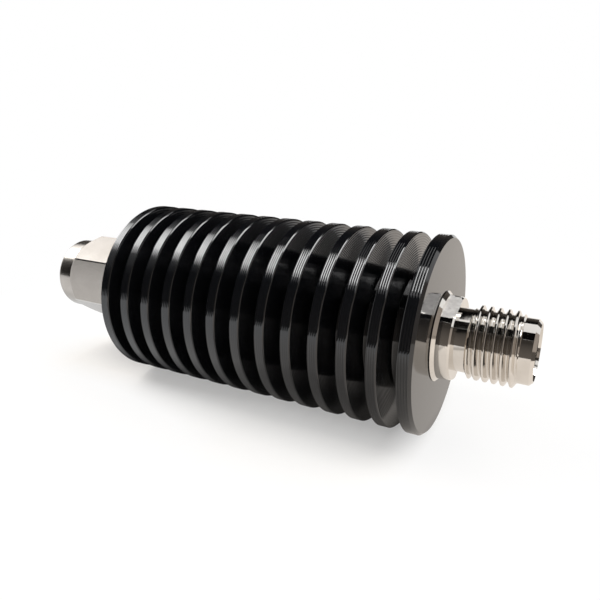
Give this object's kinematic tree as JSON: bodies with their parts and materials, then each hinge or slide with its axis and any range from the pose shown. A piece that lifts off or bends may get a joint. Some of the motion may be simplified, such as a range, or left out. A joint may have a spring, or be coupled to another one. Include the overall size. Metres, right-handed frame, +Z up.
{
  "type": "coaxial fixed attenuator",
  "caption": "In-line coaxial attenuator: round finned heat sink with a threaded plug and free coupling nut at one end and a threaded jack at the other.",
  "frame": {"origin": "on the axis, at the mating plane of the plug, which is the front of its ferrule", "axes": "+X along the axis from the plug to the jack, +Z up"},
  "size_m": [0.0506, 0.0174, 0.0174],
  "materials": {
    "black_anodised": "black anodised, bright turned",
    "bright_plating": "bright white-metal plating",
    "white_insulator": "waxy white",
    "gold_plating": "thin gold plating",
    "gasket_rubber": "matt",
    "spring_bronze": "plain",
    "bare_brass": "milled",
    "chip_ceramic": "as fired",
    "solder": "soft grey",
    "resistor_film": "printed and fired",
    "film_glaze": "glossy",
    "silver_film": "printed and fired"
  },
  "bodies": {
    "attenuator": {"heat_sink": "black_anodised", "jack_body": "bright_plating", "jack_insulator": "white_insulator", "jack_contact": "gold_plating", "plug_body": "bright_plating", "plug_insulator": "white_insulator", "plug_pin": "gold_plating", "plug_gasket": "gasket_rubber", "nut_retaining_ring": "spring_bronze", "carrier_base": "bare_brass", "carrier_cover": "bare_brass", "attenuator_chip": "chip_ceramic", "chip_solder": "solder", "resistor_film": "resistor_film", "film_glaze": "film_glaze", "input_terminal": "silver_film", "output_terminal": "silver_film", "front_ground_strip": "silver_film", "rear_ground_strip": "silver_film", "input_tab": "gold_plating", "output_tab": "gold_plating"},
    "coupling_nut": {"coupling_nut": "bright_plating"}
  },
  "joints": [
    {"name": "nut_turn", "type": "hinge", "parent": "attenuator", "child": "coupling_nut", "pos_m": [0, 0, 0], "axis": [1, 0, 0], "continuous": true}
  ]
}
